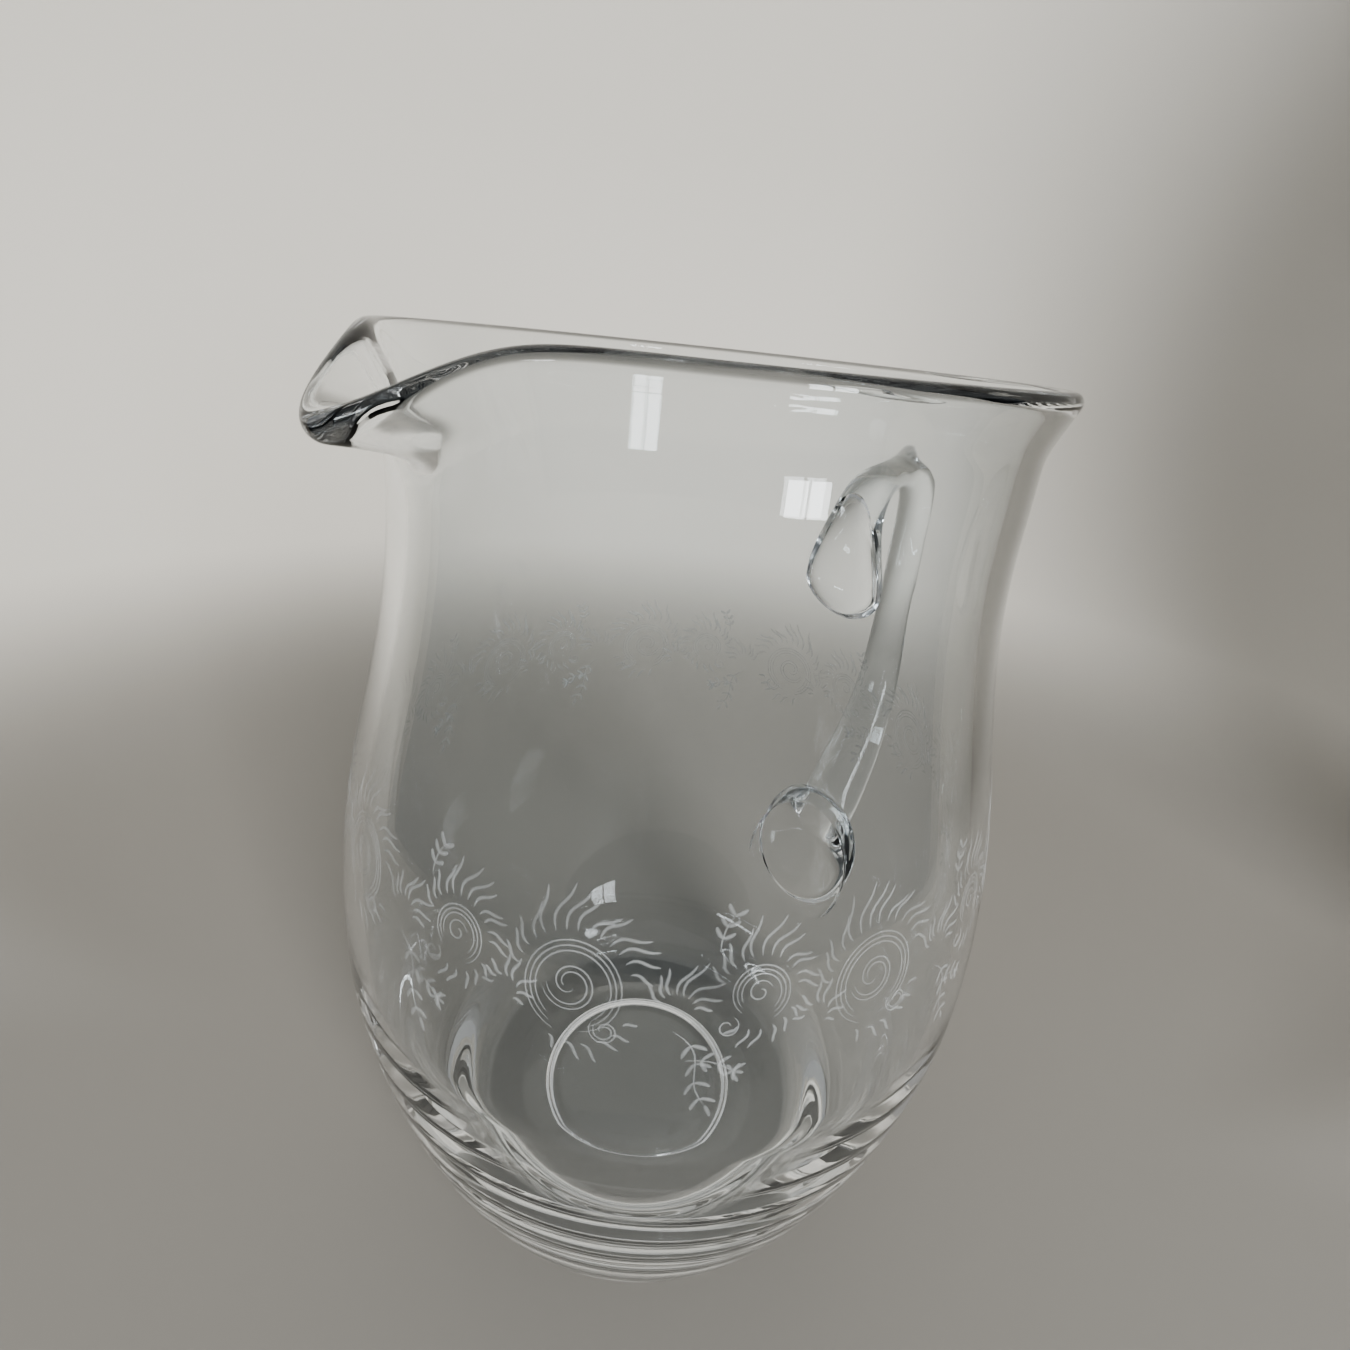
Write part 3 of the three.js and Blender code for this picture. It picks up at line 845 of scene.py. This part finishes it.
def etched_matte(look):
    """Matte etched glass: pale, fully rough, and worn thin in grains so that what is behind shows through."""
    material, tree, out = new_material("etched_matte")
    place = tree.nodes.new("ShaderNodeTexCoord")
    grain = node(tree, "ShaderNodeTexNoise", Scale=2600.0, Detail=2.0)
    drift = node(tree, "ShaderNodeTexNoise", Scale=120.0, Detail=1.0)
    for texture in (grain, drift):
        tree.links.new(place.outputs["Object"], texture.inputs["Vector"])
    thin, thick = ETCH_COVER
    cover = node(tree, "ShaderNodeMapRange", From_Min=0.3, From_Max=0.7, To_Min=thin, To_Max=thick)
    tree.links.new(drift.outputs["Fac"], cover.inputs["Value"])
    worn = [0.9 * c for c in look.etched]
    tone = between(tree, look.etched, worn, grain.outputs["Fac"])
    rough = node(tree, "ShaderNodeMapRange", To_Min=0.5, To_Max=0.8)
    tree.links.new(grain.outputs["Fac"], rough.inputs["Value"])
    matte = node(tree, "ShaderNodeBsdfPrincipled", IOR=1.45, Metallic=0.0)
    tree.links.new(tone, matte.inputs["Base Color"])
    tree.links.new(rough.outputs[0], matte.inputs["Roughness"])
    tree.links.new(cover.outputs[0], matte.inputs["Alpha"])
    tree.links.new(matte.outputs[0], out.inputs["Surface"])
    return material


def floor_paint(look):
    """Pale matt paint up the backdrop and painted shade on the floor, darker where the jug stands in place of
    the lesser light there, with a soft drift of tone.
    """
    material, tree, out = new_material("studio_floor")
    place = tree.nodes.new("ShaderNodeTexCoord")
    parts = tree.nodes.new("ShaderNodeSeparateXYZ")
    # The tone runs from the floor's painted shade up to the pale backdrop as the sweep rises.
    rise = node(tree, "ShaderNodeMapRange", interpolation_type="SMOOTHSTEP", From_Max=PAINTED_SHADE_TOP)
    drift = node(tree, "ShaderNodeTexNoise", Scale=1.6, Detail=3.0)
    mixed = node(tree, "ShaderNodeMath", operation="MULTIPLY_ADD")
    mixed.inputs[1].default_value = FLOOR_DRIFT
    tree.links.new(place.outputs["Object"], parts.inputs[0])
    tree.links.new(parts.outputs["Z"], rise.inputs["Value"])
    tree.links.new(drift.outputs["Fac"], mixed.inputs[0])
    tree.links.new(rise.outputs[0], mixed.inputs[2])
    paint = node(tree, "ShaderNodeBsdfPrincipled", Roughness=0.7, Metallic=0.0)
    tree.links.new(place.outputs["Object"], drift.inputs["Vector"])
    tone = between(tree, look.floor_painted_shade, look.floor_pale, mixed.outputs[0])
    tree.links.new(tone, paint.inputs["Base Color"])
    tree.links.new(paint.outputs[0], out.inputs["Surface"])
    return material


def surround(look):
    """Light from all round, dim at the sides and brighter overhead."""
    world = bpy.data.worlds.new("studio_surround")
    world.use_nodes = True
    tree = world.node_tree
    way = tree.nodes.new("ShaderNodeTexCoord")
    parts = tree.nodes.new("ShaderNodeSeparateXYZ")
    height = node(tree, "ShaderNodeMapRange", interpolation_type="SMOOTHSTEP", From_Min=0.0, From_Max=0.8)
    tree.links.new(way.outputs["Generated"], parts.inputs[0])
    tree.links.new(parts.outputs["Z"], height.inputs["Value"])
    tone = between(tree, look.low_sky, look.high_sky, height.outputs[0])
    tree.links.new(tone, tree.nodes["Background"].inputs["Color"])
    return world


def glass_materials(scene):
    """The glass look, the shared finish and the seam's material, made once and then found by name."""
    look = scene.jug_glass
    group = bpy.data.node_groups.get("blown_finish") or blown_group(look)
    seam = bpy.data.materials.get("fused_seam") or fused_seam()
    return look, group, seam


# Operators


class JUG_OT_bowl(bpy.types.Operator):
    """Build the blown bowl with its foot, rim and pouring lip"""

    bl_idname = "jug.make_bowl"
    bl_label = "Make the Bowl"

    def execute(self, context):
        scene = context.scene
        look, group, seam = glass_materials(scene)
        points, faces, slots = bowl_mesh(scene.jug_bowl, scene.jug_handle)
        glass = crystal("bowl_crystal", look, group, *BOWL_WAVES)
        bowl = make_piece("crystal_bowl", points, faces, [glass, seam], slots)
        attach(bowl, BODY)
        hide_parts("bowl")
        return {"FINISHED"}


class JUG_OT_handle(bpy.types.Operator):
    """Build the applied handle with its two seals"""

    bl_idname = "jug.make_handle"
    bl_label = "Make the Handle"

    def execute(self, context):
        scene = context.scene
        look, group, seam = glass_materials(scene)
        points, faces, slots = handle_mesh(scene.jug_bowl, scene.jug_handle)
        glass = crystal("handle_crystal", look, group, *HANDLE_WAVES)
        handle = make_piece("crystal_handle", points, faces, [glass, seam], slots)
        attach(handle, BODY)
        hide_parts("handle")
        return {"FINISHED"}


class JUG_OT_band(bpy.types.Operator):
    """Etch the band of scrolls and sprigs on the wall"""

    bl_idname = "jug.etch_band"
    bl_label = "Etch the Band"

    def execute(self, context):
        scene = context.scene
        points, faces = band_mesh(scene.jug_bowl, scene.jug_band)
        band = make_piece("etched_band", points, faces, [etched_matte(scene.jug_glass)], crease=180.0)
        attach(band, BODY)
        return {"FINISHED"}


def soft_light(name, place, target, size, watts, tone):
    """A rectangular soft light that faces a point. It shows in the glass and not to the camera."""
    lamp = bpy.data.lights.new(name, "AREA")
    lamp.shape = "RECTANGLE"
    lamp.size, lamp.size_y = size
    lamp.energy = watts
    lamp.color = tone
    made = bpy.data.objects.new(name, lamp)
    made.location = place
    way = np.array(target) - np.array(place)
    flat = math.hypot(way[0], way[1])
    made.rotation_euler = (math.atan2(flat, -way[2]), 0.0, math.atan2(-way[0], way[1]))
    made.visible_camera = False
    bpy.context.scene.collection.objects.link(made)
    return made


def window_light(name, bearing, away, height, pane, panes, watts):
    """A window-like light: panes side by side and over each other, with bars of dark between them."""
    a = math.radians(bearing)
    for column in range(panes[0]):
        for row in range(panes[1]):
            aside = (column - (panes[0] - 1) / 2) * pane[0] * PANE_STEP
            up = (row - (panes[1] - 1) / 2) * pane[1] * PANE_STEP
            place = (
                away * math.cos(a) - aside * math.sin(a),
                away * math.sin(a) + aside * math.cos(a),
                height + up,
            )
            facing = (place[0] - math.cos(a), place[1] - math.sin(a), place[2])
            soft_light(f"{name}_{column}_{row}", place, facing, pane, watts, WINDOW_TONE)


def floor_mesh():
    """Points and faces of a pale sweep: a flat floor that curves up behind the jug and ends short before it.

    A section of floor, bend and wall turns round the middle. Back is 1 behind the jug and 0 before it, and
    scales the wall's height and, down to the front's share, the section's reach.
    """
    turned = np.linspace(0, math.pi / 2, BEND_ROWS)[1:]
    rise = np.linspace(FLOOR_BEND, FLOOR_TOP, BACKDROP_ROWS + 1)[1:]
    section = np.concatenate([
        np.stack([np.linspace(FLOOR_MIDDLE, FLOOR_FLAT, FLAT_ROWS), np.zeros(FLAT_ROWS)], axis=1),
        np.stack([FLOOR_FLAT + FLOOR_BEND * np.sin(turned), FLOOR_BEND * (1 - np.cos(turned))], axis=1),
        np.stack([np.full(BACKDROP_ROWS, FLOOR_FLAT + FLOOR_BEND), rise], axis=1),
    ])
    around = np.linspace(0, 2 * math.pi, SWEEP_COLUMNS, endpoint=False)
    back = smoothstep(np.cos(around - math.radians(FLOOR_BACK)), *FLOOR_FADE)
    radius = section[:, :1] * (FLOOR_FRONT + (1 - FLOOR_FRONT) * back)
    rows = np.stack([radius * np.cos(around), radius * np.sin(around), section[:, 1:] * back], axis=-1)
    index = np.arange(rows.shape[0] * rows.shape[1]).reshape(rows.shape[:2])
    points = np.concatenate([rows.reshape(-1, 3), [[0, 0, 0]]])
    return points, [quads(index)[:, ::-1], fan(index[0], index.size, True)]


class JUG_OT_stage(bpy.types.Operator):
    """Set up the floor, the soft light and the camera"""

    bl_idname = "jug.make_stage"
    bl_label = "Make the Stage"

    def execute(self, context):
        scene = context.scene
        look = scene.jug_stage
        make_piece("studio_floor", *floor_mesh(), [floor_paint(look)])

        soft_light("top_light", watts=look.top, **TOP_LIGHT)
        fill = soft_light("fill_light", watts=look.fill, **FILL_LIGHT)
        fill.visible_glossy = fill.visible_transmission = False
        window_light("right_window", watts=look.right_pane, **RIGHT_WINDOW)
        window_light("left_window", watts=look.left_pane, **LEFT_WINDOW)

        scene.world = surround(look)

        camera = bpy.data.cameras.new("camera")
        camera.sensor_width = CAMERA_SENSOR
        camera.lens = CAMERA_LENS
        camera.clip_start = CAMERA_NEAR
        viewer = bpy.data.objects.new("camera", camera)
        viewer.location = CAMERA_PLACE
        viewer.location.x += axis_place(scene.jug_bowl)
        viewer.rotation_euler = [math.radians(v) for v in CAMERA_TURN]
        scene.collection.objects.link(viewer)
        scene.camera = viewer
        scene.view_settings.look = "AgX - Medium High Contrast"
        scene.cycles.max_bounces = GLASS_BOUNCES
        scene.cycles.transmission_bounces = GLASS_BOUNCES
        scene.cycles.glossy_bounces = GLASS_BOUNCES
        scene.cycles.transparent_max_bounces = CLEAR_BOUNCES
        return {"FINISHED"}


class JUG_PT_sidebar(bpy.types.Panel):
    """The jug's sizes, looks and pieces"""

    bl_label = "Crystal Jug"
    bl_idname = "JUG_PT_sidebar"
    bl_space_type = "VIEW_3D"
    bl_region_type = "UI"
    bl_category = "Jug"

    def draw(self, context):
        for operator in OPERATORS:
            self.layout.operator(operator.bl_idname)
        for name, group in GROUPS.items():
            box = self.layout.box()
            box.label(text=group.__doc__)
            for item in group.__annotations__:
                box.prop(getattr(context.scene, name), item)


GROUPS = {
    "jug_bowl": BowlSizes,
    "jug_handle": HandleSizes,
    "jug_band": BandSizes,
    "jug_glass": GlassLook,
    "jug_stage": StageLook,
}
OPERATORS = (JUG_OT_stage, JUG_OT_bowl, JUG_OT_handle, JUG_OT_band)


def register():
    """Make the classes known and hang the sizes and looks on the scene."""
    for kind in (*GROUPS.values(), *OPERATORS, JUG_PT_sidebar):
        bpy.utils.register_class(kind)
    for name, group in GROUPS.items():
        setattr(bpy.types.Scene, name, bpy.props.PointerProperty(type=group))


def unregister():
    """Take back what register did."""
    for name in GROUPS:
        delattr(bpy.types.Scene, name)
    for kind in reversed((*GROUPS.values(), *OPERATORS, JUG_PT_sidebar)):
        bpy.utils.unregister_class(kind)


def main():
    """Build everything in order."""
    register()
    bpy.ops.jug.make_stage()
    bpy.ops.jug.make_bowl()
    bpy.ops.jug.make_handle()
    bpy.ops.jug.etch_band()
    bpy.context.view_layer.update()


if __name__ == "__main__":
    main()
